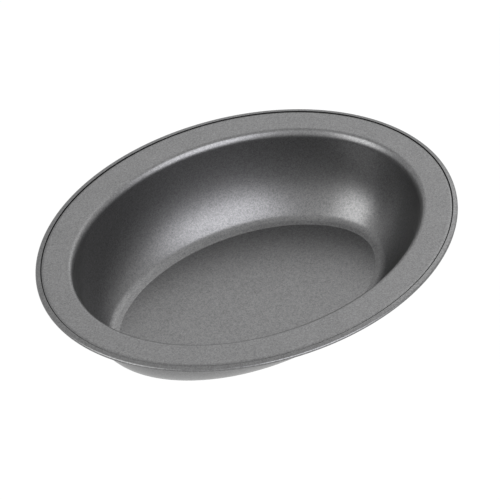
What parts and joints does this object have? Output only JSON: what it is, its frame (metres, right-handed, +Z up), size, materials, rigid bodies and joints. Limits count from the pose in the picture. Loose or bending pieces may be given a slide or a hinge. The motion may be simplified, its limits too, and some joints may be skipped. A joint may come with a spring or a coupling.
{
  "type": "oval pie dish",
  "caption": "Oval pie dish in dark grey non-stick steel: a flat-bottomed bowl with a wide flat flange and a rolled, wired rim.",
  "frame": {"origin": "middle of the base's underside, on the surface the dish stands on", "axes": "+X along the dish's length, +Y across it, +Z up out of the bowl"},
  "size_m": [0.29, 0.2204, 0.0588],
  "materials": {
    "non_stick_steel": "dark grey satin non-stick coating with a fine metallic flake",
    "wire_steel": "drawn steel wire"
  },
  "bodies": {
    "root": {"dish_shell": "non_stick_steel", "rim_wire": "wire_steel"}
  },
  "joints": []
}
